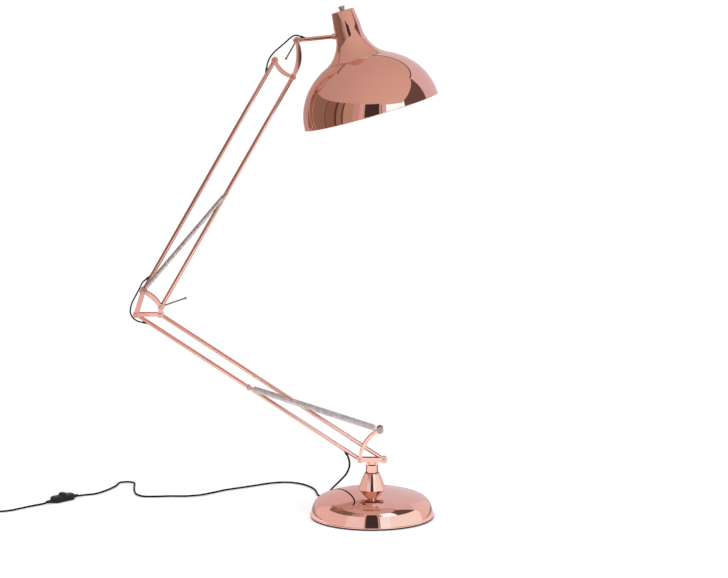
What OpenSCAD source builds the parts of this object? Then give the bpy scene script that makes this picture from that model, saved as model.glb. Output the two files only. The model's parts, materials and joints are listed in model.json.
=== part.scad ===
// Swing arm floor lamp: two balanced parallelogram arms on a round weighted base.
// Origin at the centre of the base's underside, Z up, the arms move in the XZ plane. Millimetres.

/* [Base] */
// Diameter of the base
base_d = 373; // [360:1:420]
// Radius of the slight bulge of the base's side, seen from the edge
base_bulge_r = 121; // [105:1:140]
// Radius of the base's rounded shoulder
base_shoulder_r = 44; // [38:1:50]
// Radius of the rolled lip at the base's foot
base_lip_r = 2.2; // [1.5:0.1:3]
// How far the lip stands out past the side
base_lip_out = 1.7; // [1:0.1:2]
// Thickness of the spun cover
cover_t = 1.5; // [1:0.1:2.5]
// Thickness of the felt pad
pad_t = 3; // [2:0.5:5]
// Thickness of the cast weight
weight_h = 18; // [14:1:26]

/* [Turret and post] */
// Diameter of the cone at its foot
cone_d = 84; // [76:1:90]
// Diameter of the cone at its top
cone_top_d = 45; // [40:1:52]
// Height of the top of the cone above the floor
cone_top_z = 135; // [128:1:142]
// Diameter of the post above the cone
post_d = 37; // [32:1:39]
// Diameter of the spindle that turns in the bush
spindle_d = 20; // [16:0.5:22]
// Height of the two lowest pivots above the floor
pivot_z = 174; // [170:1:190]

/* [Arms] */
// Distance between the two pivots at each end of an arm
link = 72; // [64:1:80]
// Length of the lower bars between pivots
lower_len = 800; // [700:5:850]
// Length of the upper bars between pivots
upper_len = 790; // [700:5:850]
// Direction of the lower bars at rest, degrees from +X
lower_angle = 146.5; // [140:0.5:152]
// Direction of the upper bars at rest, degrees from +X
upper_angle = 60; // [50:0.5:70]
// Outside diameter of the bars
bar_d = 12; // [11:0.5:13]
// Wall thickness of the bars
bar_wall = 1.2; // [0.8:0.1:1.5]
// Diameter of the eye at each end of a bar
eye_d = 18; // [16:0.5:20]
// Diameter of the pivot bolts
bolt_d = 6; // [5:0.5:7]

/* [Brackets] */
// Thickness of the bracket plates
cheek_t = 3; // [2:0.5:4]
// Distance between the two plates of a bracket
cheek_gap = 14; // [14:0.5:16]
// Width of the straight bands of the plates
band_w = 13; // [10:0.5:15]
// Length of the clamp levers
lever_len = 76; // [60:1:90]
// Diameter of the clamp levers' rods
lever_d = 4.5; // [3.5:0.5:6]

/* [Springs] */
// Outside diameter of the springs
spring_d = 12; // [10:0.5:13]
// Diameter of the springs' wire
wire_d = 2; // [1.6:0.1:2.4]
// Curls of each spring
curls = 20; // [14:1:22]
// Distance of each spring from the middle plane
spring_y = 17.5; // [17.5:0.5:20]
// Distance of the lower spring pin from the lowest pivot
lower_pin_at = 400; // [360:5:440]
// Distance of the upper spring pin from the elbow
upper_pin_at = 395; // [360:5:440]

/* [Head and shade] */
// Distance from the head pivot to the axis of the shade
head_reach = 156; // [150:1:170]
// Direction of the head tube, degrees from +X
head_angle = 6; // [0:0.5:10]
// Tilt of the shade from upright, degrees
shade_tilt = 16; // [8:0.5:20]
// Diameter of the shade's rim
shade_d = 407; // [390:1:420]
// Height of the shade from rim to the top of the neck
shade_h = 308; // [300:1:320]
// Diameter of the shade's neck
neck_d = 80; // [74:1:84]
// Thickness of the shade's sheet
shade_t = 1.2; // [0.8:0.1:2]
// Diameter of the top nut
top_nut_d = 19; // [16:1:24]

/* [Lampholder and bulb] */
// Diameter of the lampholder
holder_d = 40; // [36:1:44]
// Diameter of the bulb
bulb_d = 60; // [50:1:70]

/* [Lead] */
// Diameter of the lead
flex_d = 6; // [5:0.5:6.5]
// Diameter of the cord bridges at elbow and head
bridge_d = 4.5; // [4:0.5:5]
// Length of the foot switch
switch_len = 88; // [80:1:96]
// Width of the foot switch
switch_w = 34; // [30:1:40]
// Diameter of the foot switch's button
button_d = 21.6; // [18:0.2:22]

/* [Hidden] */
$fn = 48;
copper = "#c58a70";
steel = "#a9a9ab";
iron = "#4a4a4c";
black = "#1c1c1d";
white = "#f2efe6";
run = 0.05;
seat = 0.25;
cord_play = 0.3;
base_r = base_d / 2;
function dir(a) = [cos(a), sin(a)];

// Pivot points in the arm plane, as X and Z
A0 = [-link / 2, pivot_z];
B0 = [link / 2, pivot_z];
K = [24, pivot_z + 92];
E1 = A0 + lower_len * dir(lower_angle);
E2 = E1 + [link, 0];
E3 = E1 + [22, 71];
upper_link_angle = -43;
E4 = E3 + link * dir(upper_link_angle);
H3 = E3 + upper_len * dir(upper_angle);
H4 = H3 + link * dir(upper_link_angle);
H5 = H3 + [64, 58];
lower_pin = A0 + lower_pin_at * dir(lower_angle);
upper_pin = E4 + upper_pin_at * dir(upper_angle);

// Arcs of the base: bulged side, shoulder, crown, each tangent to the next
side_foot_a = 6;
side_end_a = 22.3;
shoulder_a = 71;
base_side_at = [base_r - base_lip_out, pad_t] - base_bulge_r * dir(side_foot_a);
shoulder_at = base_side_at + (base_bulge_r - base_shoulder_r) * dir(side_end_a);
shoulder_end = shoulder_at + base_shoulder_r * dir(shoulder_a);
crown_r = shoulder_end[0] / cos(shoulder_a);
crown_z = shoulder_end[1] + crown_r * (1 - sin(shoulder_a));
cone_z = crown_z - 3.5;
nut_z = pad_t + 3;
weight_r = base_r - 22;
post_foot_z = cone_top_z + 1.5;
block_z = pivot_z - 16;

// Bars, eyes and brackets
bolt_r = bolt_d / 2;
eye_r = eye_d / 2;
eye_w = cheek_gap - 0.6;
eye_in = eye_r + 5;
bore_d = bar_d - 2 * bar_wall;
face_y = cheek_gap / 2 + cheek_t;
boss_r = eye_r + 1;
bridge_sleeve_r = bridge_d / 2 + 1.25;
flex_sleeve_r = flex_d / 2 + 1.2;

// Springs
coil_r = spring_d / 2 - wire_d / 2;
ring_r = bolt_r + 1.7;
ring_w = 1.25;
shank = 16;
plug_r = coil_r - wire_d / 2 - 0.3;
lower_run = K - lower_pin;
lower_spring_a = atan2(lower_run[1], lower_run[0]);
lower_spring_len = norm(lower_run);
upper_run = E3 - upper_pin;
upper_spring_a = atan2(upper_run[1], upper_run[0]);
upper_spring_len = norm(upper_run);

// Shade: arcs of the dome, the flare and the neck, scaled with the rim
ks = shade_d / 401;
side_r = 168 * ks;
side_c = [32.5 * ks, -4 * ks];
top_r = 218 * ks;
top_c = -41.8 * ks;
meet_r = 142.1 * ks;
crease_z = 160 * ks;
crease_r = 82.8 * ks;
flare_r = 105.5 * ks;
neck_r = neck_d / 2;
flare_z = crease_z + sqrt(pow(flare_r, 2) - pow(neck_r + flare_r - crease_r, 2));
shade_joint_z = shade_h - 73;
Q = H5 + head_reach * dir(head_angle);
boss_end = head_reach - 37;
collar_at = boss_end - 14;

// Lead: routes in round numbers, the bridges counted from E1 and H3
flex_r = flex_d / 2;
drop_route = [[-80, 0, 198], [-74.5, 0, 187.5], [-69.5, 3, 174], [-67.5, 11, 158], [-70, 26, 140],
  [-78, 50, 119], [-90, 84, 97], [-105, 122, 74], [-120, 158, 51], [-134, 190, 29], [-147, 215, 12],
  [-157, 238, 4.5], [-161, 250, 3], [-165, 262, 3]];
floor_route = [[-165, 262], [-168, 271], [-173, 306], [-180, 346], [-198, 390], [-228, 429], [-268, 448], [-318, 438],
  [-370, 402], [-420, 368], [-462, 338], [-500, 300], [-536, 268], [-580, 253], [-630, 253], [-678, 247],
  [-712, 250], [-734, 276], [-745, 318], [-751, 364], [-753, 408], [-758, 434], [-781, 452], [-804, 434],
  [-810, 408], [-824, 366], [-842, 320], [-866, 284]];
switch_at = [-958, 204];
switch_a = 48;
switch_x = switch_len / 2;
tail_route = [[-1026, 134], [-1050, 112], [-1074, 86], [-1096, 63], [-1118, 50], [-1142, 45.5],
  [-1166, 45]];
elbow_route = [[31.8, -26.1], [20, -24.3], [16.5, -23.8], [3, -20], [-9, -11.5], [-16.5, 2], [-16.8, 17], [-12, 34],
  [-4, 50], [4, 65], [12, 79.5], [20, 95.5], [28.2, 103.7], [31.5, 106], [41, 112.65]];
head_route = [[-25.1, -35], [-24, -23], [-21, -8], [-14, 8], [-1, 24], [16, 39], [33, 53.5], [47, 66],
  [61, 72.8], [75.4, 69.5], [86.5, 65]];
coil_c = [-1190, 7];
coil_out = 38;
coil_pitch = 7;
coil_turns = 3.25;
coil_z = 4.4;
coil_layer = 6.8;
plug_at = [coil_c[0] - coil_out, -38];

// Round tube swept along points, one ring per point
function unit(v) = v / norm(v);
function heading(P, i) = unit(P[min(i + 1, len(P) - 1)] - P[max(i - 1, 0)]);
function ring(p, u, v, r, n) = [for (k = [0 : n - 1])
  p + r * (cos(360 * k / n) * u + sin(360 * k / n) * v)];
function side(P, i, ref) = unit(cross(ref, heading(P, i)));
function rings(P, r, n, ref) = [for (i = [0 : len(P) - 1])
  each ring(P[i], side(P, i, ref), cross(heading(P, i), side(P, i, ref)), r, n)];
function quad(a, b, c, d) = [[a, d, c], [a, c, b]];
function walls(m, n) = [for (i = [0 : m - 2]) for (k = [0 : n - 1])
  each quad(i * n + k, i * n + (k + 1) % n, (i + 1) * n + (k + 1) % n, (i + 1) * n + k)];
function caps(m, n) = [[for (k = [0 : n - 1]) k], [for (k = [n - 1 : -1 : 0]) (m - 1) * n + k]];
module swept(P, r, n, ref) {
  polyhedron(points = rings(P, r, n, ref), faces = concat(caps(len(P), n), walls(len(P), n)));
}

// Helix along X with straight ends one wire diameter long
function helix_point(i, x0, x1) = [x0 + (x1 - x0) * i / (8 * curls), coil_r * cos(45 * i),
  coil_r * sin(45 * i)];
function helix(x0, x1) = [for (i = [0 : 8 * curls]) helix_point(i, x0, x1)];
function beyond(p, q, d) = q + d * unit(q - p);
function run_out(P, d) = concat([beyond(P[1], P[0], d)], P, [beyond(P[len(P) - 2], P[len(P) - 1], d)]);
lower_helix = helix(shank + 3, lower_spring_len - shank - 3);
upper_helix = helix(shank + 3, upper_spring_len - shank - 3);

// Coil put away: one layer in, a climb, one layer out
function smooth(t) = t <= 0 ? 0 : t >= 1 ? 1 : t * t * (3 - 2 * t);
function coil_rad(t) = coil_out - coil_pitch * min(t, coil_turns - t);
function coil_lift(t) = coil_layer * smooth((t - coil_turns / 2 + 0.25) / 0.5);
function coil_point(t) = [coil_c[0] + coil_rad(t) * cos(90 + 360 * t),
  coil_c[1] + coil_rad(t) * sin(90 + 360 * t), coil_z + coil_lift(t)];
coil_line = [for (i = [0 : 24 * coil_turns]) coil_point(i / 24)];

// Least gap of a wound tube to itself, measured between points that are not neighbours
function gap_from(P, i, skip) = min([for (j = [i + skip : len(P) - 1]) norm(P[i] - P[j])]);
function self_gap(P, d, skip) = min([for (i = [0 : len(P) - 1 - skip]) gap_from(P, i, skip)]) - d;
echo(lower_spring_gap = self_gap(lower_helix, wire_d, 5));
echo(upper_spring_gap = self_gap(upper_helix, wire_d, 5));
echo(coil_gap = self_gap(coil_line, flex_d, 8));
echo(E1 = E1, E3 = E3, E4 = E4, H3 = H3, H4 = H4, H5 = H5, Q = Q, crown_z = crown_z);
echo(lower_pin = lower_pin, upper_pin = upper_pin, lower_a = lower_spring_a, upper_a = upper_spring_a);

// Helpers: a frame at a point of the arm plane with local X along an angle, and shapes in that plane
module on(p, a = 0) {
  translate([p[0], 0, p[1]]) rotate([0, -a, 0]) children();
}
module xrod(r, x0, x1) {
  translate([x0, 0, 0]) rotate([0, 90, 0]) cylinder(r = r, h = x1 - x0);
}
module yrod(r, y0, y1) {
  translate([0, y1, 0]) rotate([90, 0, 0]) cylinder(r = r, h = y1 - y0);
}
module plate(y0, y1) {
  translate([0, y1, 0]) rotate([90, 0, 0]) linear_extrude(height = y1 - y0) children();
}
module disc(p, r) {
  translate(p) circle(r = r);
}
module strap(p, q, w) {
  translate(p) rotate(atan2(q[1] - p[1], q[0] - p[0])) translate([0, -w / 2]) square([norm(q - p), w]);
}
// Crescent from p to q that bulges to the left; so and si are the rises of its outer and inner edge
module crescent(p, q, so, si, e) {
  c = norm(q - p);
  ro = (c * c / 4 + so * so) / (2 * so);
  ri = (c * c / 4 + si * si) / (2 * si);
  translate(p) rotate(atan2(q[1] - p[1], q[0] - p[0])) intersection() {
    translate([0, -e]) square([c, so + 2 * e + 1]);
    difference() {
      translate([c / 2, e + so - ro]) circle(r = ro, $fn = 96);
      translate([c / 2, si - e - ri]) circle(r = ri, $fn = 96);
    }
  }
}

// Pivot bolt with head in front and nut behind
module pivot_bolt(p) {
  on(p) {
    union() {
      yrod(bolt_r, -face_y, face_y + 6);
      translate([0, -face_y, 0]) rotate([90, 0, 0]) cylinder(r1 = 6.5, r2 = 5, h = 4);
    }
    difference() {
      translate([0, face_y + 5, 0]) rotate([90, 0, 0]) cylinder(r = 6.5, h = 5, $fn = 6);
      yrod(bolt_r + run, face_y - 1, face_y + 7);
    }
  }
}
module sleeve_y(r, y0, y1) {
  difference() {
    yrod(r, y0, y1);
    yrod(bolt_r + run, y0 - 1, y1 + 1);
  }
}
// Long bolt that also carries the two spring eyes, with spacers and washers
module spring_bolt(p) {
  out = spring_y + ring_w + 0.25;
  on(p) {
    union() {
      yrod(bolt_r, -out - 1.5, out + 7.5);
      translate([0, -out - 1.5, 0]) rotate([90, 0, 0]) cylinder(r1 = 6.5, r2 = 5, h = 4.5);
    }
    difference() {
      translate([0, out + 6.5, 0]) rotate([90, 0, 0]) cylinder(r = 6.5, h = 5, $fn = 6);
      yrod(bolt_r + run, out, out + 8);
    }
    sleeve_y(10, -out - 1.5, -out);
    sleeve_y(10, out, out + 1.5);
    sleeve_y(5, -spring_y + ring_w + 0.25, -face_y);
    sleeve_y(5, face_y, spring_y - ring_w - 0.25);
  }
}
// Pin through a bar that carries two spring eyes
module bar_pin() {
  out = spring_y + ring_w + 0.25;
  union() {
    yrod(bolt_r, -out, out + 2.5);
    translate([0, -out, 0]) rotate([90, 0, 0]) cylinder(r1 = 5.5, r2 = 4.5, h = 3);
  }
  difference() {
    translate([0, out + 2, 0]) rotate([90, 0, 0]) cylinder(r1 = 4.5, r2 = 5.5, h = 2);
    yrod(bolt_r + run, out - 1, out + 4);
  }
  sleeve_y(4.5, -spring_y + ring_w + 0.25, -bar_d / 2 - run);
  sleeve_y(4.5, bar_d / 2 + run, spring_y - ring_w - 0.25);
}
// Bar tube in its own frame; children are cut from it
module bar_tube(len) {
  difference() {
    xrod(bar_d / 2, eye_in, len - eye_in);
    xrod(bore_d / 2, eye_in - 1, len - eye_in + 1);
    children();
  }
}
module bar_end(slack) {
  difference() {
    union() {
      yrod(eye_r, -eye_w / 2, eye_w / 2);
      xrod(bar_d / 2, 0, eye_in);
      xrod(bore_d / 2 - run, 0, eye_in + 14);
    }
    yrod(bolt_r + slack, -eye_w, eye_w);
  }
}
module bar_ends(len, slack) {
  bar_end(run);
  translate([len, 0, 0]) rotate([0, 180, 0]) bar_end(slack);
}
// Slanted cord hole and the sleeve that lines it, at x along a bar
module cord_hole(x, a, r) {
  translate([x, 0, 0]) rotate([0, -a, 0]) xrod(r + run, 3, 40);
}
module cord_sleeve(x, a, r, cord, x1) {
  translate([x, 0, 0]) rotate([0, -a, 0]) difference() {
    xrod(r, 7, x1);
    xrod(cord / 2 + cord_play, 6, x1 + 1);
  }
}
// Eye of a spring: ring round its pin, shank, and plug inside the coil
module spring_eye() {
  rotate([90, 0, 0]) rotate_extrude() translate([ring_r, 0]) circle(r = ring_w, $fn = 24);
  xrod(ring_w, ring_r, shank + 1);
  xrod(plug_r, shank, shank + 9);
}
module pair_y() {
  translate([0, -spring_y, 0]) children();
  translate([0, spring_y, 0]) children();
}
module clamp_lever(p, a, len) {
  on(p, a) difference() {
    union() {
      yrod(8, face_y, face_y + 9);
      translate([0, face_y + 4.5, 0]) xrod(lever_d / 2, 6, len);
      translate([len, face_y + 4.5, 0]) sphere(r = lever_d / 2 + 1.3);
    }
    yrod(bolt_r + run, face_y - 1, face_y + 12);
  }
}
module lever_bolt(p) {
  on(p) {
    yrod(bolt_r, -face_y, face_y + 10);
    translate([0, -face_y, 0]) rotate([90, 0, 0]) cylinder(r1 = 6.5, r2 = 5, h = 4);
  }
}

// Base
module base_2d(o) {
  intersection() {
    translate(base_side_at) circle(r = base_bulge_r - o, $fn = 192);
    square([base_r, shoulder_at[1] + (base_shoulder_r - o) * sin(side_end_a)]);
  }
  translate(shoulder_at) circle(r = base_shoulder_r - o, $fn = 96);
  intersection() {
    translate([0, crown_z - crown_r]) circle(r = crown_r - o, $fn = 192);
    square([shoulder_at[0] + (base_shoulder_r - o) * cos(shoulder_a), crown_z + 1]);
  }
}
module base_pad() {
  color(black) cylinder(r = base_r - 0.7, h = pad_t, $fn = 96);
}
module base_weight() {
  color(iron) translate([0, 0, pad_t]) difference() {
    cylinder(r = weight_r, h = weight_h);
    translate([0, 0, -1]) cylinder(r = 6 + run, h = weight_h + 2);
    translate([0, 0, -1]) cylinder(r = 15, h = 12);
  }
}
module base_cover() {
  color(copper) rotate_extrude($fn = 96) {
    difference() {
      base_2d(0);
      base_2d(cover_t);
      translate([-1, -100]) square([base_r + 2, pad_t + 100]);
      translate([-1, 0]) square([7 + run, 200]);
    }
    translate([base_r - base_lip_r, pad_t + base_lip_r]) circle(r = base_lip_r, $fn = 24);
    translate([base_r - 4 * base_lip_r, pad_t]) square([3 * base_lip_r, cover_t]);
  }
}
module base_cone() {
  color(copper) difference() {
    rotate_extrude() polygon([[0, cone_z], [cone_d / 2 - 0.8, cone_z], [cone_d / 2, cone_z + 1.5],
      [cone_top_d / 2 + 0.8, cone_top_z - 2], [cone_top_d / 2 - 1.5, cone_top_z], [0, cone_top_z]]);
    rotate_extrude($fn = 96) base_2d(-seat);
    translate([0, 0, cone_top_z - 31]) cylinder(r = spindle_d / 2 + 2 + run, h = 40);
    translate([0, 0, cone_z - 1]) cylinder(r = 6 + run, h = 60);
  }
}
module base_stud() {
  color(steel) translate([0, 0, nut_z]) cylinder(r = 6, h = cone_top_z - 33 - nut_z);
  color(steel) translate([0, 0, pad_t + 1]) difference() {
    cylinder(r = 11, h = 10, $fn = 6);
    translate([0, 0, -1]) cylinder(r = 6 + run, h = 12);
  }
}
module post_bush() {
  color(iron) difference() {
    union() {
      translate([0, 0, cone_top_z - 30]) cylinder(r = spindle_d / 2 + 2, h = 30);
      translate([0, 0, cone_top_z]) cylinder(r = post_d / 2 + 1.5, h = 1.5);
    }
    translate([0, 0, cone_top_z - 31]) cylinder(r = spindle_d / 2, h = 40);
  }
}

// Swivel
module swivel_post() {
  color(copper) difference() {
    union() {
      translate([0, 0, cone_top_z - 29]) cylinder(r = spindle_d / 2 - run, h = 40);
      translate([0, 0, post_foot_z]) cylinder(r = post_d / 2, h = block_z - post_foot_z);
      translate([-18, -cheek_gap / 2, block_z - 1]) cube([36, cheek_gap, 13]);
    }
    for (x = [-9, 9]) on([x, block_z + 6]) yrod(2 + run, -cheek_gap, -2.5);
    for (x = [-9, 9]) on([x, block_z + 6]) yrod(2 + run, 2.5, cheek_gap);
  }
}
module base_cheek_2d() {
  difference() {
    union() {
      strap(A0, B0, band_w + 1);
      disc(A0, boss_r);
      disc(B0, boss_r);
      crescent(A0, K, 16, 14, 4);
      disc(K, 8);
      translate([-17, block_z]) square([34, 16]);
    }
    disc(A0, bolt_r + run);
    disc(B0, bolt_r + run);
    disc(K, bolt_r + run);
    disc([-9, block_z + 6], 2 + run);
    disc([9, block_z + 6], 2 + run);
  }
}
module base_cheek_front() {
  color(copper) plate(-face_y, -cheek_gap / 2) base_cheek_2d();
}
module base_cheek_rear() {
  color(copper) plate(cheek_gap / 2, face_y) base_cheek_2d();
}
module base_cheek_screws() {
  color(steel) for (x = [-9, 9]) for (m = [0, 1]) mirror([0, m, 0]) on([x, block_z + 6]) union() {
    yrod(2, 3, face_y + 1);
    translate([0, face_y + 2.5, 0]) rotate([90, 0, 0]) cylinder(r1 = 3, r2 = 3.8, h = 2.5);
  }
}
module base_pivot_bolts() {
  color(steel) {
    pivot_bolt(A0);
    pivot_bolt(B0);
  }
}
module spring_anchor_bolt() {
  color(steel) {
    spring_bolt(K);
    on(K) sleeve_y(5, -cheek_gap / 2, cheek_gap / 2);
  }
}
module cord_drop() {
  color(black) swept(drop_route, flex_r, 8, [1, 0, 0]);
}

// Lower arm
module lower_bar_a() {
  color(copper) on(A0, lower_angle) bar_tube(lower_len) {
    translate([lower_pin_at, 0, 0]) yrod(bolt_r + run, -20, 20);
    cord_hole(57, 150, flex_sleeve_r);
    cord_hole(lower_len - 50, 25, bridge_sleeve_r);
  }
}
module lower_ends_a() {
  color(copper) on(A0, lower_angle) bar_ends(lower_len, run);
}
module lower_sleeves() {
  color(black) on(A0, lower_angle) {
    cord_sleeve(57, 150, flex_sleeve_r, flex_d, 20);
    cord_sleeve(lower_len - 50, 25, bridge_sleeve_r, bridge_d, 22);
  }
}
module lower_spring_pin() {
  color(steel) on(lower_pin) bar_pin();
  color(steel) on(lower_pin, lower_spring_a) pair_y() spring_eye();
}
module lower_spring_front() {
  color(steel) on(lower_pin, lower_spring_a) translate([0, -spring_y, 0])
    swept(run_out(lower_helix, wire_d), wire_d / 2, 6, [1, 0, 0]);
}
module lower_spring_rear() {
  color(steel) on(lower_pin, lower_spring_a) translate([0, spring_y, 0])
    swept(run_out(lower_helix, wire_d), wire_d / 2, 6, [1, 0, 0]);
}
module lower_anchor_eyes() {
  color(steel) on(K, lower_spring_a + 180) pair_y() spring_eye();
}
module lower_bar_b() {
  color(copper) on(B0, lower_angle) bar_tube(lower_len);
}
module lower_ends_b() {
  color(copper) on(B0, lower_angle) bar_ends(lower_len, 0.2);
}

// Elbow
module elbow_cheek_2d() {
  difference() {
    union() {
      strap(E1, E3, band_w + 1);
      strap(E1, E2, band_w - 2);
      strap(E2, E4, band_w);
      crescent(E3, E4, 7, 3, 4.5);
      for (p = [E1, E2, E3, E4]) disc(p, boss_r);
    }
    for (p = [E1, E2, E3, E4]) disc(p, bolt_r + run);
  }
}
module elbow_cheek_front() {
  color(copper) plate(-face_y, -cheek_gap / 2) elbow_cheek_2d();
}
module elbow_cheek_rear() {
  color(copper) plate(cheek_gap / 2, face_y) elbow_cheek_2d();
}
module elbow_bolts() {
  color(steel) {
    pivot_bolt(E1);
    pivot_bolt(E2);
    spring_bolt(E3);
    lever_bolt(E4);
  }
}
module elbow_lever() {
  color(steel) clamp_lever(E4, 19, lever_len);
}
module cord_elbow() {
  color(black) swept([for (p = elbow_route) [E1[0] + p[0], 0, E1[1] + p[1]]], bridge_d / 2, 8, [0, 1, 0]);
}

// Upper arm
module upper_bar_c() {
  color(copper) on(E3, upper_angle) bar_tube(upper_len) {
    cord_hole(55, 155, bridge_sleeve_r);
    cord_hole(upper_len - 52, 25, bridge_sleeve_r);
  }
}
module upper_ends_c() {
  color(copper) on(E3, upper_angle) bar_ends(upper_len, run);
}
module upper_sleeves() {
  color(black) on(E3, upper_angle) {
    cord_sleeve(55, 155, bridge_sleeve_r, bridge_d, 22);
    cord_sleeve(upper_len - 52, 25, bridge_sleeve_r, bridge_d, 22);
  }
}
module upper_bar_d() {
  color(copper) on(E4, upper_angle) bar_tube(upper_len)
    translate([upper_pin_at, 0, 0]) yrod(bolt_r + run, -20, 20);
}
module upper_ends_d() {
  color(copper) on(E4, upper_angle) bar_ends(upper_len, 0.2);
}
module upper_spring_pin() {
  color(steel) on(upper_pin) bar_pin();
  color(steel) on(upper_pin, upper_spring_a) pair_y() spring_eye();
}
module upper_spring_front() {
  color(steel) on(upper_pin, upper_spring_a) translate([0, -spring_y, 0])
    swept(run_out(upper_helix, wire_d), wire_d / 2, 6, [1, 0, 0]);
}
module upper_spring_rear() {
  color(steel) on(upper_pin, upper_spring_a) translate([0, spring_y, 0])
    swept(run_out(upper_helix, wire_d), wire_d / 2, 6, [1, 0, 0]);
}
module upper_anchor_eyes() {
  color(steel) on(E3, upper_spring_a + 180) pair_y() spring_eye();
}

// Head
module head_cheek_2d() {
  difference() {
    union() {
      crescent(H4, H3, 11, 8, 4.5);
      crescent(H5, H4, 16, 9, 4.5);
      for (p = [H3, H4, H5]) disc(p, boss_r);
    }
    for (p = [H3, H4, H5]) disc(p, bolt_r + run);
  }
}
module head_cheek_front() {
  color(copper) plate(-face_y, -cheek_gap / 2) head_cheek_2d();
}
module head_cheek_rear() {
  color(copper) plate(cheek_gap / 2, face_y) head_cheek_2d();
}
module head_bolts() {
  color(steel) {
    pivot_bolt(H3);
    pivot_bolt(H4);
    lever_bolt(H5);
  }
}
module head_lever() {
  color(steel) clamp_lever(H5, 240, lever_len - 13);
}
module cord_head() {
  color(black) swept([for (p = head_route) [H3[0] + p[0], 0, H3[1] + p[1]]], bridge_d / 2, 8, [0, 1, 0]);
}
module head_tube() {
  color(copper) on(H5, head_angle) difference() {
    union() {
      yrod(eye_r, -eye_w / 2, eye_w / 2);
      xrod(bar_d / 2, 0, collar_at);
      xrod(5 - run, collar_at - 4, boss_end + 8);
    }
    xrod(bore_d / 2, eye_in, collar_at - 6);
    xrod(3.2, collar_at - 8, boss_end + 9);
    yrod(bolt_r + run, -eye_w, eye_w);
    cord_hole(32, 152, bridge_sleeve_r);
  }
}
module head_sleeve() {
  color(black) on(H5, head_angle) cord_sleeve(32, 152, bridge_sleeve_r, bridge_d, 22);
}
module head_lock_nuts() {
  color(iron) on(H5, head_angle) for (x = [collar_at, boss_end]) difference() {
    xrod(8, x, x + 4);
    xrod(5, x - 1, x + 5);
  }
}

// Shade, in its own frame: rim plane at Z 0, axis along Z
module in_shade() {
  on(Q) rotate([0, -shade_tilt, 0]) translate([0, 0, -shade_joint_z]) children();
}
module shade_2d(o) {
  intersection() {
    translate([0, top_c]) circle(r = top_r - o, $fn = 192);
    translate([0, -5]) square([meet_r, 300]);
  }
  intersection() {
    translate(side_c) circle(r = side_r - o, $fn = 192);
    translate([meet_r - 1, -5]) square([120, 300]);
  }
  difference() {
    translate([0, crease_z]) square([crease_r + 8, flare_z - crease_z]);
    translate([neck_r + flare_r, flare_z]) circle(r = flare_r + o, $fn = 96);
  }
  polygon([[0, flare_z - 1], [neck_r - o, flare_z - 1], [neck_r - o, shade_h - 46],
    [neck_r - 1.5 - o, shade_h - 28], [neck_r - 4 - o, shade_h - 12], [neck_r - 6.5 - o, shade_h - 2 - o],
    [neck_r - 9 - o, shade_h - o], [0, shade_h - o]]);
}
module shade_shell() {
  color(copper) difference() {
    union() {
      in_shade() rotate_extrude($fn = 96) {
        difference() {
          shade_2d(0);
          shade_2d(shade_t);
          translate([-1, -10]) square([300, 10]);
          translate([-1, shade_h - 20]) square([6 + run, 30]);
        }
        translate([shade_d / 2 - shade_t / 2, 1.6]) circle(r = 1.6, $fn = 24);
      }
      on(H5, head_angle) xrod(9, collar_at + 4, boss_end);
    }
    on(H5, head_angle) xrod(5, collar_at, boss_end + 5);
  }
}
module shade_top_nut() {
  color(steel) in_shade() difference() {
    union() {
      translate([0, 0, shade_h]) cylinder(d = top_nut_d - 4, h = 9);
      translate([0, 0, shade_h + 8]) cylinder(d = top_nut_d, h = 4);
      translate([0, 0, shade_h + 12]) cylinder(d1 = top_nut_d, d2 = top_nut_d - 5, h = 2);
    }
    translate([0, 0, shade_h - 1]) cylinder(r = 5 + run, h = 10);
  }
}
module lampholder_stem() {
  color(steel) in_shade() difference() {
    union() {
      translate([0, 0, shade_h - 62]) cylinder(r = 5, h = 70);
      translate([0, 0, shade_h - shade_t - 4]) cylinder(r = 10, h = 4);
    }
    translate([0, 0, shade_h - 63]) cylinder(r = 3, h = 72);
  }
}
module lampholder() {
  color(black) in_shade() difference() {
    union() {
      translate([0, 0, shade_h - 143]) cylinder(d = holder_d, h = 76);
      translate([0, 0, shade_h - 67]) cylinder(d1 = holder_d, d2 = 18, h = 15);
    }
    translate([0, 0, shade_h - 144]) cylinder(r = 14, h = 46);
    translate([0, 0, shade_h - 64]) cylinder(r = 5 + run, h = 20);
  }
}
module bulb_cap() {
  color(steel) in_shade() union() {
    translate([0, 0, shade_h - 140]) cylinder(r = 13.3, h = 25);
    translate([0, 0, shade_h - 115]) cylinder(r1 = 10, r2 = 5, h = 5);
    translate([0, 0, shade_h - 110]) cylinder(r = 4, h = 12);
  }
}
module bulb_2d(o) {
  r = bulb_d / 2 - o;
  translate([0, shade_h - 210]) intersection() {
    circle(r = r, $fn = 64);
    translate([0, -60]) square([60, 120]);
  }
  polygon([[0, shade_h - 210], [r * cos(14), shade_h - 210 + r * sin(14)], [13 - o, shade_h - 152],
    [13 - o, shade_h - 140], [0, shade_h - 140]]);
}
module bulb_glass() {
  color(white) in_shade() rotate_extrude() difference() {
    bulb_2d(0);
    bulb_2d(1.2);
    translate([-1, shade_h - 145]) square([12.8, 10]);
  }
}

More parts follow.
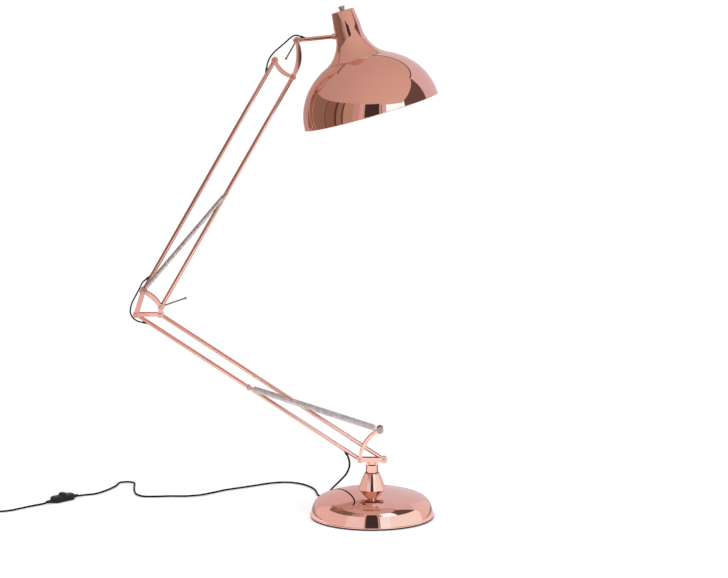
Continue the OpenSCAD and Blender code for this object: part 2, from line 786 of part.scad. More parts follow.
// Lead on the floor, foot switch, coil and plug
module in_switch() {
  translate([switch_at[0], switch_at[1], 0]) rotate([0, 0, switch_a]) children();
}
module stadium(l, w) {
  square([l - w, w], center = true);
  translate([(l - w) / 2, 0]) circle(d = w);
  translate([(w - l) / 2, 0]) circle(d = w);
}
function switch_point(x, z) = [switch_at[0] + x * cos(switch_a), switch_at[1] + x * sin(switch_a), z];
module cord_floor() {
  entry = [switch_point(switch_x + 40, flex_r), switch_point(switch_x + 22, flex_r + 1),
    switch_point(switch_x + 12, 6), switch_point(switch_x - 1, 6)];
  color(black) swept(concat([for (p = floor_route) [p[0], p[1], flex_r]], entry), flex_r, 8, [0, 0, 1]);
}
module foot_switch_base() {
  color(black) in_switch() difference() {
    union() {
      linear_extrude(height = 11.5) stadium(switch_len, switch_w);
      translate([0, 0, 6]) xrod(flex_r + 1.8, -switch_x - 12, switch_x + 12);
    }
    translate([0, 0, 2]) linear_extrude(height = 10) stadium(switch_len - 6, switch_w - 6);
    translate([0, 0, 6]) xrod(flex_r + run, -switch_x - 13, switch_x + 13);
  }
}
module foot_switch_top() {
  color(black) in_switch() difference() {
    union() {
      translate([0, 0, 11.5]) linear_extrude(height = 4.5) stadium(switch_len, switch_w);
      translate([0, 0, 16]) linear_extrude(height = 3) stadium(switch_len - 6, switch_w - 6);
    }
    translate([0, 0, 11]) linear_extrude(height = 5.5) stadium(switch_len - 8, switch_w - 8);
    cylinder(d = button_d + 0.6, h = 30);
  }
}
module foot_switch_button() {
  color(black) in_switch() union() {
    translate([0, 0, 13]) cylinder(d = button_d, h = 11);
    translate([0, 0, 24]) cylinder(d1 = button_d, d2 = button_d - 4, h = 2);
    translate([0, 0, 13]) cylinder(d = button_d + 2, h = 3.3);
  }
}
module cord_tail() {
  color(black) swept(concat([switch_point(1 - switch_x, 6), switch_point(-switch_x - 12, 6),
    switch_point(-switch_x - 24, flex_r + 1)], [for (p = tail_route) [p[0], p[1], flex_r]],
    [[coil_c[0] + 2 * flex_d, 45, coil_z], [coil_c[0] + flex_d, 45, coil_z]]), flex_r, 8, [0, 0, 1]);
}
module cord_coil() {
  x = plug_at[0];
  y = coil_c[1] - flex_d;
  way_out = [[x, y, coil_z + coil_layer], [x, y - 12, coil_z + coil_layer - 0.8], [x, y - 24, 8],
    [x, plug_at[1] + 8, 7.5], [x, plug_at[1] + 2, 7.5]];
  color(black) swept(concat([[coil_c[0] + flex_d, 45, coil_z]], coil_line, way_out), flex_r, 6, [0, 0, 1]);
}
module cord_tie() {
  color(steel) translate([coil_c[0] - 24.8, coil_c[1] - 10, 0]) difference() {
    translate([-17.6, 0, 0]) cube([20.6, 5, 15.8]);
    translate([-16.6, -1, 1]) cube([18.6, 7, 13.8]);
  }
}
module plug_body() {
  color(black) translate([plug_at[0], plug_at[1], 0]) difference() {
    union() {
      linear_extrude(height = 15) polygon([[-6, 0], [6, 0], [16, -14], [17, -36], [-17, -36], [-16, -14]]);
      translate([0, 0, 7.5]) yrod(5.5, -3, 10);
    }
    translate([0, 0, 7.5]) yrod(flex_r + run, 1, 12);
    for (x = [-9.3, 9.3]) translate([x, 0, 7.5]) yrod(2 + run, -40, -26);
  }
}
module plug_pins() {
  color(steel) for (x = [-9.3, 9.3]) translate([plug_at[0] + x, plug_at[1], 7.5]) yrod(2, -55, -26);
}

base_pad();
base_weight();
base_cover();
base_cone();
base_stud();
post_bush();
swivel_post();
base_cheek_front();
base_cheek_rear();
base_cheek_screws();
base_pivot_bolts();
spring_anchor_bolt();
cord_drop();
lower_bar_a();
lower_ends_a();
lower_sleeves();
lower_spring_pin();
lower_spring_front();
lower_spring_rear();
lower_anchor_eyes();
lower_bar_b();
lower_ends_b();
elbow_cheek_front();
elbow_cheek_rear();
elbow_bolts();
elbow_lever();
cord_elbow();
upper_bar_c();
upper_ends_c();
upper_sleeves();
upper_bar_d();
upper_ends_d();
upper_spring_pin();
upper_spring_front();
upper_spring_rear();
upper_anchor_eyes();
head_cheek_front();
head_cheek_rear();
head_bolts();
head_lever();
cord_head();
head_tube();
head_sleeve();
head_lock_nuts();
shade_shell();
shade_top_nut();
lampholder_stem();
lampholder();
bulb_cap();
bulb_glass();
cord_floor();
foot_switch_base();
foot_switch_top();
foot_switch_button();
cord_tail();
cord_coil();
cord_tie();
plug_body();
plug_pins();
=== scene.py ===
"""Looks of a swing arm floor lamp, in the part's frame: polished copper, wound springs, black lead."""
import json
import math

import bmesh
import bpy
from mathutils import Matrix, Vector


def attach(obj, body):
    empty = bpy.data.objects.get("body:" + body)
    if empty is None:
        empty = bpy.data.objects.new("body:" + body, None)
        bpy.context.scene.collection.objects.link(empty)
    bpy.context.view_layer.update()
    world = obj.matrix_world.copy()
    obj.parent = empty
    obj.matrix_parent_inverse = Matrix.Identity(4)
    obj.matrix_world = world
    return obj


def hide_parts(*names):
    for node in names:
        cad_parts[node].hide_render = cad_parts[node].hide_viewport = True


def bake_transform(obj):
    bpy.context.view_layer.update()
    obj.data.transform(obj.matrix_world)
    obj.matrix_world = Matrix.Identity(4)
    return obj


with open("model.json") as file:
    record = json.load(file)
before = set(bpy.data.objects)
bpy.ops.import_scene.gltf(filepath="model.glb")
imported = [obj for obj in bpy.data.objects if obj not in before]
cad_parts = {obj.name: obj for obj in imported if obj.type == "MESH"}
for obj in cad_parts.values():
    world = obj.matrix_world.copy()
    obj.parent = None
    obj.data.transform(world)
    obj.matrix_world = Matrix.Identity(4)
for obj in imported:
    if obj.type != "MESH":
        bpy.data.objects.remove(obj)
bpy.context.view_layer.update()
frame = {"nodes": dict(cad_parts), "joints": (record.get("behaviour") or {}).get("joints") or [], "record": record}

# Places taken from the frame: pivots, and the body and finish of each node
MM = 0.001
record = frame["record"]
joints = {j["name"]: j for j in frame["joints"]}
home = {node: body for body, nodes in record["behaviour"]["bodies"].items() for node in nodes}
slots = {s["node"]: s["material_slot"] for s in record["subparts"]}


def pivot(joint):
    return Vector(joints[joint]["pos_m"])


A0, B0 = pivot("lower_arm_tilt"), pivot("lower_link_follow")
E1, E3, E4 = pivot("elbow_follow"), pivot("upper_arm_tilt"), pivot("upper_link_follow")
H3, H5 = pivot("head_follow"), pivot("head_tilt")
E2 = E1 + B0 - A0
H4 = H3 + E4 - E3
LOWER = (E1 - A0).normalized()
UPPER = (H3 - E3).normalized()
TUBE = Vector(joints["shade_roll"]["axis"])

# Sizes in millimetres, as the solids have them
BASE_R, LIP_R, FOOT_R, FOOT_TILT, SIDE_START = 186.5, 2.2, 184.8, 6, 8
BULGE_R, SIDE_END, SHOULDER_R, SHOULDER_END = 121, 22.3, 44, 71
PAD_R, PAD_T = 185.8, 3
CONE_FOOT_R, CONE_TOP_R, CONE_TOP_Z = 42, 23.3, 135
COLLAR_R, COLLAR_T = 20, 1.5
BAR_R, EYE_IN = 6, 14
SPRING_Y, COIL_R, WIRE_R, WIRE_SHARE, COIL_START = 17.5, 5, 1, 0.96, 18
LOWER_PIN_AT, UPPER_PIN_AT = 400, 395
SPRING_ANCHOR = Vector((24, 0, 266)) * MM
HEAD_REACH, SHADE_TILT, SHADE_H, SHADE_JOINT = 156, 16, 308, 235
SHADE_R, SHADE_T, NECK_R, RIM_BEAD_R = 203.5, 1.2, 40, 1.6
BOSS_NEAR, BOSS_FAR, BOSS_R, BOSS_BORE = 47, 37, 9, 5
BULB_R, THREAD_TURNS, THREAD_PITCH = 30, 7, 3.1
FLEX_R, BRIDGE_R = 3, 2.25
SWITCH_AT, SWITCH_TURN, SWITCH_LEN, SWITCH_W = Vector((-958, 204, 0)), 48, 88, 34
BUTTON_R = 10.8
PLUG_AT = Vector((-1228, -38, 7.5))

# Camera at the photograph's place: high, far off, on a long lens tilted a little down
CAMERA_AT, CAMERA_TILT, CAMERA_LENS, SENSOR_W = (-0.0241, -7.3, 1.75), 8.2484, 122.575, 36

# Soft lights, in metres and watts
LIGHT_AIM = Vector((-0.3, 0, 0.5))
OVERHEAD_AT, OVERHEAD_SIZE, OVERHEAD_POWER = (-1.2, -1.0, 4.6), 4.0, 170
SIDE_LIGHT_AT, SIDE_LIGHT_SIZE, SIDE_LIGHT_POWER = (3.6, -3.0, 3.0), 2.5, 60

# Colours, linear: the copper, and the ceiling that it mirrors
COPPER, COPPER_DEEP = (0.93, 0.57, 0.47, 1), (0.88, 0.52, 0.42, 1)
CEILING_LIT, CEILING_DIM, CEILING_LEAN = (0.74, 0.57, 0.53, 1), (0.54, 0.41, 0.375, 1), (0.45, -0.3, 0)

# The floor takes the light and the shadows near the lamp, and glows white of its own further off
HORIZON_R, FLOOR_Z, FLOOR_SIDES = 160, -0.002, 96
NEAR_FLOOR, FAR_FLOOR = 1.6, 2.4
NEAR_TONE, FAR_TONE = (0.7, 0.72, 0.74, 1), (0.12, 0.12, 0.12, 1)
NEAR_GLOW, FAR_GLOW = (0.26, 0.3, 0.32, 1), (0.94, 0.94, 0.94, 1)

# The copper mirrors a round of paper in the floor's place, which is darker behind the lamp
PAPER_R, PAPER_Z, PAPER_GLOW = 1.5, -0.001, (0.2, 0.2, 0.2, 1)
BEHIND_START, BEHIND_END = 0.0, 0.2
BEHIND_TONE, BEHIND_GLOW = (0.35, 0.3, 0.3, 1), (0.03, 0.025, 0.025, 1)

# Tent walls: distances and heights in metres; angles from the camera's side, left negative
TENT_R, GAP_R, FAR_GAP_R, WALL_STEPS = 1.0, 1.5, 3.2, 48
LEFT_TOP, GAP_TOP, FAR_GAP_TOP, RIGHT_TOP, BACK_TOP, RAIL_H = 1.62, 1.81, 2.36, 1.55, 2.25, 0.06
BACK_LEFT, BACK_RIGHT, RISE_RIGHT = -124, 99, 48
GAP_LEFT, GAP_RIGHT, GAP_WALL, FAR_GAP_WALL = -14, 13, (-12, 11), (-12, 10)
DIM_LEFT, DARK_EDGE, BLACK = (0.52, 0.37, 0.35, 1), (0.12, 0.06, 0.05, 1), (0.06, 0.045, 0.045, 1)
SWEEP, WHITE_CARD, DARK_CARD = (0.75, 0.65, 0.72, 1), (1.08, 1.75, 2.1, 1), (0.14, 0.1, 0.1, 1)
HIGH_FLATS = [(-180, DIM_LEFT), (BACK_LEFT, DARK_EDGE), (BACK_LEFT + 3, (0.27, 0.19, 0.15, 1)),
              (-80, DARK_EDGE), (-78, (0.25, 0.16, 0.13, 1)), (-61, DARK_EDGE), (-57, (0.3, 0.22, 0.17, 1)),
              (-48, DARK_EDGE), (-46, (0.48, 0.36, 0.3, 1)), (-30, (0.58, 0.43, 0.4, 1)),
              (-20, (0.72, 0.55, 0.54, 1)), (GAP_LEFT, BLACK), (GAP_RIGHT, (0.7, 0.6, 0.66, 1)),
              (21, WHITE_CARD), (52, DARK_CARD), (BACK_RIGHT, SWEEP)]
LOW_FLATS = [(-180, (0.72, 0.58, 0.6, 1)), (BACK_LEFT, (0.86, 0.7, 0.72, 1)), (-47, (0.93, 0.9, 0.97, 1)),
             (GAP_LEFT, BLACK), (GAP_RIGHT, (1.05, 1.3, 1.4, 1)), (32, (1.02, 1.12, 1.16, 1)),
             (BACK_RIGHT, (0.87, 0.77, 0.8, 1)), (150, (0.76, 0.68, 0.74, 1))]
LOW_END, HIGH_START = 0.58, 0.68
BACK_RISE, RISE_START, RISE_END = 0.32, 0.1, 0.5

# How the meshes are made: angles in degrees, lengths in millimetres, and counts of steps
CREASE, DRESSED_CREASE, FLAT_ANGLE, SHARP_ANGLE = 38, 45, 0.6, 30
FINE_EDGE, TIE_EDGE, PLATE_EDGE, EDGE_STEPS, MERGE, CAD_MERGE = 0.35, 0.4, 0.6, 2, 1e-3, 2e-3
TUBE_SIDES, END_STEPS, ROUTE_STEPS = 14, 14, 4


class Value:
    """A node's output in Python arithmetic: each operator adds one Math node."""

    def __init__(self, graph, socket):
        self.graph, self.socket = graph, socket

    def __add__(self, other):
        return self.graph.math("ADD", self, other)

    def __sub__(self, other):
        return self.graph.math("SUBTRACT", self, other)

    def __rsub__(self, other):
        return self.graph.math("SUBTRACT", other, self)

    def __mul__(self, other):
        return self.graph.math("MULTIPLY", self, other)

    def __truediv__(self, other):
        return self.graph.math("DIVIDE", self, other)

    __radd__ = __add__
    __rmul__ = __mul__


class Graph:
    """A node tree whose nodes come from one method: type, settings, then values or links of the sockets."""

    def __init__(self, tree):
        self.tree = tree

    def node(self, kind, settings=None, sockets=None, output=0):
        made = self.tree.nodes.new(kind)
        for key, value in (settings or {}).items():
            if key == "stops":
                self.ramp_stops(made.color_ramp, value)
            else:
                setattr(made, key, value)
        for key, value in (sockets or {}).items():
            self.feed(made.inputs[key], value)
        if isinstance(output, tuple):
            return [Value(self, made.outputs[key]) for key in output]
        return Value(self, made.outputs[output])

    def feed(self, socket, value):
        if isinstance(value, Value):
            self.tree.links.new(value.socket, socket)
        else:
            socket.default_value = value

    def ramp_stops(self, ramp, stops):
        while len(ramp.elements) > 1:
            ramp.elements.remove(ramp.elements[-1])
        ramp.elements[0].position, ramp.elements[0].color = stops[0]
        for position, colour in stops[1:]:
            ramp.elements.new(position).color = colour

    def math(self, operation, a, b):
        return self.node("ShaderNodeMath", {"operation": operation}, {0: a, 1: b})

    def mix(self, share, a, b):
        return self.node("ShaderNodeMix", {"data_type": "RGBA"}, {0: share, 6: a, 7: b}, output=2)

    def step(self, value, low, high):
        return self.node("ShaderNodeMapRange", {"interpolation_type": "SMOOTHSTEP"},
                         {"Value": value, "From Min": low, "From Max": high})


class Finish(Graph):
    """A material on Object coordinates; plain keywords set the shader's own sockets."""

    def __init__(self, name, **plain):
        self.material = bpy.data.materials.new(name)
        self.material.use_nodes = True
        super().__init__(self.material.node_tree)
        self.shader = self.tree.nodes["Principled BSDF"]
        self.place = self.node("ShaderNodeTexCoord", output="Object")
        for key, value in plain.items():
            self.set(key.replace("_", " ").title().replace("Ior", "IOR"), value)

    def set(self, socket, value):
        self.feed(self.shader.inputs[socket], value)

    def noise(self, scale, detail, stretch=(1, 1, 1)):
        place = self.node("ShaderNodeMapping", {}, {"Vector": self.place, "Scale": stretch})
        return self.node("ShaderNodeTexNoise", {}, {"Vector": place, "Scale": scale, "Detail": detail})

    def bump(self, height, strength, distance):
        self.set("Normal", self.node("ShaderNodeBump", {}, {
            "Height": height, "Strength": strength, "Distance": distance}))


def plated_copper(name, roughness, wave):
    """Polished copper plate: a slow drift of tone, faint wipe marks, and a slight waviness of the sheet."""
    f = Finish(name, metallic=1.0)
    wipe = f.noise(34, 5, (1, 1, 0.25))
    f.set("Base Color", f.mix(f.noise(7, 3), COPPER, COPPER_DEEP))
    f.set("Roughness", roughness + f.step(wipe, 0.45, 0.8) * 0.05)
    f.bump(f.noise(9, 1) + f.noise(420, 2) * 0.02, wave, 0.002)
    return f.material


def turned_steel(name, colour, roughness):
    """Nickelled steel with fine turning marks and duller patches."""
    f = Finish(name, metallic=1.0)
    dark = tuple(0.7 * c for c in colour[:3]) + (1,)
    patch = f.noise(120, 4)
    f.set("Base Color", f.mix(f.step(patch, 0.4, 0.75), colour, dark))
    f.set("Roughness", roughness + patch * 0.18)
    f.bump(f.noise(900, 3, (1, 6, 1)), 0.12, 0.0004)
    return f.material


def black_skin(name, tone, roughness, grain, depth, gloss=0.5):
    """Black plastic or rubber: fine moulded grain, a little dust and wear in the gloss."""
    f = Finish(name, specular_ior_level=gloss)
    dust = f.noise(60, 5)
    f.set("Base Color", f.mix(f.step(dust, 0.5, 0.85), (tone, tone, tone * 1.04, 1),
                              (tone * 2.2, tone * 2.1, tone * 2.0, 1)))
    f.set("Roughness", roughness + dust * 0.16)
    f.bump(f.noise(grain, 2), 0.25, depth)
    return f.material


def felt():
    """Pressed felt: matted fibres of two greys with a soft sheen."""
    f = Finish("felt", specular_ior_level=0.05, sheen_weight=0.02, sheen_roughness=0.6)
    fibre = f.noise(700, 6, (1, 0.3, 1)) + f.noise(500, 6, (0.3, 1, 1))
    f.set("Base Color", f.mix(fibre * 0.5, (0.003, 0.003, 0.003, 1), (0.016, 0.016, 0.015, 1)))
    f.set("Roughness", 0.85 + fibre * 0.05)
    f.bump(fibre, 0.6, 0.0008)
    return f.material


def opal_glass():
    """Frosted bulb glass, warm white, a little uneven inside."""
    f = Finish("opal_glass", transmission_weight=0.25, ior=1.5, coat_weight=0.4, coat_roughness=0.08)
    cloud = f.noise(40, 3)
    f.set("Base Color", f.mix(cloud, (0.93, 0.9, 0.84, 1), (0.84, 0.82, 0.78, 1)))
    f.set("Roughness", 0.28 + cloud * 0.1)
    return f.material


def cast_iron():
    """Rough cast iron, darker in its hollows."""
    f = Finish("cast_iron", metallic=0.8)
    crust = f.noise(180, 6)
    f.set("Base Color", f.mix(crust, (0.05, 0.05, 0.052, 1), (0.12, 0.11, 0.1, 1)))
    f.set("Roughness", 0.6 + crust * 0.25)
    f.bump(crust, 0.5, 0.001)
    return f.material


FINISH = {
    "copper": plated_copper("copper_plate", 0.045, 0.006),
    "shade_copper": plated_copper("copper_sheet", 0.03, 0.010),
    "steel": turned_steel("nickelled_steel", (0.62, 0.61, 0.6, 1), 0.16),
    "spring_steel": turned_steel("spring_wire", (0.9, 0.89, 0.88, 1), 0.3),
    "bolt": turned_steel("warm_bolt", (0.84, 0.6, 0.5, 1), 0.2),
    "lever": turned_steel("lever_steel", (0.32, 0.31, 0.29, 1), 0.3),
    "flex": black_skin("black_flex", 0.003, 0.5, 1500, 0.0001, 0.15),
    "black_plastic": black_skin("black_moulding", 0.004, 0.4, 2600, 0.00012),
    "bush": black_skin("dark_bush", 0.02, 0.45, 1800, 0.0001),
    "felt": felt(),
    "bulb_glass": opal_glass(),
    "iron": cast_iron(),
    "tie": black_skin("grey_tie", 0.24, 0.4, 1800, 0.0001),
    "plug_brass": turned_steel("plug_brass", (0.78, 0.62, 0.36, 1), 0.14),
}


def heading(degrees):
    """A unit step in the plane, from its angle."""
    return Vector((math.cos(math.radians(degrees)), math.sin(math.radians(degrees))))


def arc(centre, radius, start, stop, steps=24):
    """Points of an arc, angles in degrees."""
    angles = [math.radians(start + (stop - start) * k / steps) for k in range(steps + 1)]
    return [(centre[0] + radius * math.cos(a), centre[1] + radius * math.sin(a)) for a in angles]


def rounded(corners, steps=4):
    """An open outline of (x, y, radius) corners, each rounded by its radius."""
    out = []
    for i, (x, y, radius) in enumerate(corners):
        if radius <= 0:
            out.append((x, y))
            continue
        here = Vector((x, y))
        back = (Vector(corners[i - 1][:2]) - here).normalized()
        ahead = (Vector(corners[i + 1][:2]) - here).normalized()
        half = back.angle(ahead) / 2
        centre = here + (back + ahead).normalized() * (radius / math.sin(half))
        u = here + back * (radius / math.tan(half)) - centre
        w = here + ahead * (radius / math.tan(half)) - centre
        span = u.angle(w)
        for k in range(steps + 1):
            near, far = math.sin(span * (1 - k / steps)), math.sin(span * k / steps)
            p = centre + (u * near + w * far) / math.sin(span)
            out.append((p.x, p.y))
    return out


def along(start, direction, side=Vector((0, 1, 0))):
    """A place whose local Z runs along a direction and whose local Y is near a given side."""
    z = Vector(direction).normalized()
    x = side.cross(z).normalized()
    turn = Matrix((x, z.cross(x), z)).transposed().to_4x4()
    return Matrix.Translation(start) @ turn


def piece(name, bm, finish, place=None, crease=CREASE):
    """A mesh object from millimetres, smooth but for its creases, put in place in its own mesh."""
    bmesh.ops.remove_doubles(bm, verts=bm.verts, dist=MERGE)
    bmesh.ops.recalc_face_normals(bm, faces=bm.faces)
    bm.transform(Matrix.Scale(MM, 4))
    if place:
        bm.transform(place)
    mesh = bpy.data.meshes.new(name)
    bm.to_mesh(mesh)
    bm.free()
    return shown(name, mesh, finish, crease)


def shown(name, mesh, finish, crease=CREASE):
    """A mesh as an object in the scene, with its finish."""
    mesh.materials.clear()
    mesh.materials.append(FINISH[finish])
    mesh.shade_smooth()
    mesh.set_sharp_from_angle(angle=math.radians(crease))
    obj = bpy.data.objects.new(name, mesh)
    bpy.context.scene.collection.objects.link(obj)
    return obj


def stands_for(obj, *nodes):
    """The piece rides where its first node does, and hides the nodes."""
    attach(obj, home[nodes[0]])
    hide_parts(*nodes)
    return obj


def skin(bm, rings):
    """Faces between rings of points; a ring of one point is a pole."""
    for low, high in zip(rings, rings[1:]):
        count = max(len(low), len(high))
        for k in range(count):
            m = (k + 1) % count
            corners = [low[k % len(low)], low[m % len(low)], high[m % len(high)], high[k % len(high)]]
            if len(set(corners)) > 2:
                bm.faces.new(dict.fromkeys(corners))


def lathe(name, outline, finish, place=None, segments=96):
    """A body of revolution about local Z, from (radius, height) points."""
    bm = bmesh.new()
    rings = []
    for radius, height in outline:
        turns = segments if radius > 1e-4 else 1
        spin = [2 * math.pi * k / turns for k in range(turns)]
        rings.append([bm.verts.new((radius * math.cos(a), radius * math.sin(a), height)) for a in spin])
    skin(bm, rings)
    return piece(name, bm, finish, place)


def loft(name, sections, finish, place=None):
    """A skin through closed sections of equally many points, closed by a cap at both ends."""
    bm = bmesh.new()
    rings = [[bm.verts.new(p) for p in section] for section in sections]
    skin(bm, rings)
    bm.faces.new(rings[0])
    bm.faces.new(rings[-1])
    return piece(name, bm, finish, place)


def dressed(node, finish=None, edge=FINE_EDGE):
    """A CAD node's own shape, its edges broken and its round faces smooth."""
    bm = bmesh.new()
    bm.from_mesh(frame["nodes"][node].data)
    bm.transform(Matrix.Scale(1 / MM, 4))
    bmesh.ops.remove_doubles(bm, verts=bm.verts, dist=CAD_MERGE)
    bmesh.ops.dissolve_limit(bm, angle_limit=math.radians(FLAT_ANGLE), verts=bm.verts, edges=bm.edges)
    limit = math.radians(SHARP_ANGLE)
    sharp = [e for e in bm.edges if len(e.link_faces) == 2 and e.calc_face_angle(0) > limit]
    bmesh.ops.bevel(bm, geom=sharp, offset=edge, segments=EDGE_STEPS, profile=0.5, affect="EDGES",
                    clamp_overlap=True)
    obj = piece(node + "_dressed", bm, finish or slots[node], crease=DRESSED_CREASE)
    obj.modifiers.new("flat faces stay flat", "WEIGHTED_NORMAL").keep_sharp = True
    return stands_for(obj, node)


def smooth_route(points, steps):
    """A smooth curve through given points, with tangents weighted by the spans beside them."""
    gaps = [(b - a).length for a, b in zip(points, points[1:])]
    slopes = [(points[1] - points[0]) / gaps[0]]
    for i in range(1, len(points) - 1):
        before = (points[i] - points[i - 1]) / gaps[i - 1]
        after = (points[i + 1] - points[i]) / gaps[i]
        slopes.append((before * gaps[i] + after * gaps[i - 1]) / (gaps[i] + gaps[i - 1]))
    slopes.append((points[-1] - points[-2]) / gaps[-1])
    out = []
    for i, gap in enumerate(gaps):
        for k in range(steps):
            t = k / steps
            ease = t * t * (3 - 2 * t)
            out.append(points[i].lerp(points[i + 1], ease) + gap * t * (1 - t) * (
                slopes[i] * (1 - t) - slopes[i + 1] * t))
    return out + [points[-1]]


def tube(name, route, radius, finish):
    """A round cord along a dense route in metres, its rings carried on without twist."""
    bm = bmesh.new()
    side = Vector((0, 1, 0)) if abs((route[1] - route[0]).normalized().y) < 0.7 else Vector((1, 0, 0))
    rings = []
    for i, p in enumerate(route):
        ahead = (route[min(i + 1, len(route) - 1)] - route[max(i - 1, 0)]).normalized()
        side = (side - ahead * side.dot(ahead)).normalized()
        other = ahead.cross(side)
        spin = [2 * math.pi * k / TUBE_SIDES for k in range(TUBE_SIDES)]
        spokes = [side * math.cos(a) + other * math.sin(a) for a in spin]
        rings.append([bm.verts.new(p / MM + radius * spoke) for spoke in spokes])
    skin(bm, rings)
    bm.faces.new(rings[0])
    bm.faces.new(rings[-1])
    return piece(name, bm, finish)


def route_length(route):
    return sum((b - a).length for a, b in zip(route, route[1:]))


def geometry_tree(name, inputs):
    """An empty Geometry Nodes tree with named number inputs; gives its graph and those inputs."""
    tree = bpy.data.node_groups.new(name, "GeometryNodeTree")
    tree.interface.new_socket("Geometry", in_out="OUTPUT", socket_type="NodeSocketGeometry")
    for key in inputs:
        tree.interface.new_socket(key, in_out="INPUT", socket_type="NodeSocketFloat")
    graph = Graph(tree)
    return graph, dict(zip(inputs, graph.node("NodeGroupInput", output=tuple(inputs))))


def finish_tree(graph, geometry, finish):
    """The tree's end: real faces with their finish."""
    solid = graph.node("GeometryNodeRealizeInstances", {}, {"Geometry": geometry})
    painted = graph.node("GeometryNodeSetMaterial", {}, {"Geometry": solid, "Material": FINISH[finish]})
    graph.node("NodeGroupOutput", {}, {"Geometry": painted}, output=())
    return graph.tree


def grown(name, tree, values, finish, place):
    """A plain mesh object from a Geometry Nodes tree and its inputs, in millimetres."""
    carrier = bpy.data.objects.new(name + "_carrier", bpy.data.meshes.new(name))
    bpy.context.scene.collection.objects.link(carrier)
    modifier = carrier.modifiers.new("tree", "NODES")
    modifier.node_group = tree
    for item in tree.interface.items_tree:
        if item.in_out == "INPUT":
            modifier[item.identifier] = float(values[item.name])
    solid = bpy.data.meshes.new_from_object(carrier.evaluated_get(bpy.context.evaluated_depsgraph_get()))
    bpy.data.objects.remove(carrier)
    solid.transform(place @ Matrix.Scale(MM, 4))
    return shown(name, solid, finish)


def spring_tree():
    """A close-wound spring along Z."""
    graph, size = geometry_tree("wound_spring", ["Length", "Coil Radius", "Wire Radius", "Turns"])
    line = graph.node("GeometryNodeCurveSpiral", {}, {
        "Resolution": 18, "Rotations": size["Turns"], "Start Radius": size["Coil Radius"],
        "End Radius": size["Coil Radius"], "Height": size["Length"]})
    wire = graph.node("GeometryNodeCurvePrimitiveCircle", {}, {
        "Resolution": 8, "Radius": size["Wire Radius"]})
    wound = graph.node("GeometryNodeCurveToMesh", {}, {
        "Curve": line, "Profile Curve": wire, "Fill Caps": True})
    return finish_tree(graph, wound, "spring_steel")


def rib_tree():
    """Upright ribs round a circle about Z, as on a grip."""
    graph, size = geometry_tree("grip_ribs", ["Count", "Radius", "Width", "Height"])
    ring = graph.node("GeometryNodeMeshCircle", {}, {"Vertices": size["Count"], "Radius": size["Radius"]})
    shape = graph.node("ShaderNodeCombineXYZ", {}, {
        "X": size["Width"], "Y": size["Width"], "Z": size["Height"]})
    bar = graph.node("GeometryNodeMeshCylinder", {}, {"Vertices": 8, "Radius": 0.5, "Depth": 1.0})
    ribs = graph.node("GeometryNodeInstanceOnPoints", {}, {"Points": ring, "Instance": bar, "Scale": shape})
    return finish_tree(graph, ribs, "black_plastic")


def ring_tree():
    """Rings in a row along Z, as on a strain relief, each a little smaller than the last."""
    graph, size = geometry_tree("relief_rings", ["Count", "Pitch", "Radius", "Shrink"])
    step = graph.node("ShaderNodeCombineXYZ", {}, {"Z": size["Pitch"]})
    row = graph.node("GeometryNodeMeshLine", {}, {"Count": size["Count"], "Offset": step})
    loop = graph.node("GeometryNodeCurvePrimitiveCircle", {}, {"Resolution": 28, "Radius": size["Radius"]})
    bead = graph.node("GeometryNodeCurvePrimitiveCircle", {}, {"Resolution": 8, "Radius": 0.9})
    ring = graph.node("GeometryNodeCurveToMesh", {}, {"Curve": loop, "Profile Curve": bead})
    index = graph.node("GeometryNodeInputIndex")
    small = 1 - index * size["Shrink"]
    shape = graph.node("ShaderNodeCombineXYZ", {}, {"X": small, "Y": small, "Z": 1.0})
    rings = graph.node("GeometryNodeInstanceOnPoints", {}, {"Points": row, "Instance": ring, "Scale": shape})
    return finish_tree(graph, rings, "black_plastic")


# Stage: camera, pale floor, the tent that the copper mirrors, soft lights
def camera():
    data = bpy.data.cameras.new("camera")
    data.lens, data.sensor_width = CAMERA_LENS, SENSOR_W
    obj = bpy.data.objects.new("camera", data)
    obj.location = CAMERA_AT
    obj.rotation_euler = (math.radians(90 - CAMERA_TILT), 0, 0)
    bpy.context.scene.collection.objects.link(obj)
    bpy.context.scene.camera = obj


def stage_piece(name, bm, paint, mirrored_only):
    """Something round the lamp that isn't part of it; the copper alone may see it."""
    mesh = bpy.data.meshes.new(name)
    bm.to_mesh(mesh)
    bm.free()
    mesh.materials.append(paint.material)
    obj = bpy.data.objects.new(name, mesh)
    obj.visible_glossy = mirrored_only
    if mirrored_only:
        obj.visible_camera = obj.visible_diffuse = False
        obj.visible_shadow = obj.visible_transmission = False
    bpy.context.scene.collection.objects.link(obj)


def floor_paint(name, glow):
    return Finish(name, base_color=NEAR_TONE, roughness=0.75, specular_ior_level=0.1,
                  emission_color=glow, emission_strength=1.0)


def fade(paint, share, tones, glows):
    """Tone and glow that change together, as the share goes from 0 to 1."""
    paint.set("Base Color", paint.mix(share, *tones))
    paint.set("Emission Color", paint.mix(share, *glows))


def ground(name, radius, height, paint, mirrored_only):
    bm = bmesh.new()
    bmesh.ops.create_circle(bm, cap_ends=True, segments=FLOOR_SIDES, radius=radius,
                            matrix=Matrix.Translation((0, 0, height)))
    stage_piece(name, bm, paint, mirrored_only)


def floor():
    """Pale floor to the horizon."""
    paint = floor_paint("floor", NEAR_GLOW)
    reach = paint.node("ShaderNodeVectorMath", {"operation": "LENGTH"}, {0: paint.place}, output="Value")
    away = paint.step(reach, NEAR_FLOOR, FAR_FLOOR)
    fade(paint, away, (NEAR_TONE, FAR_TONE), (NEAR_GLOW, FAR_GLOW))
    ground("floor", HORIZON_R, FLOOR_Z, paint, False)


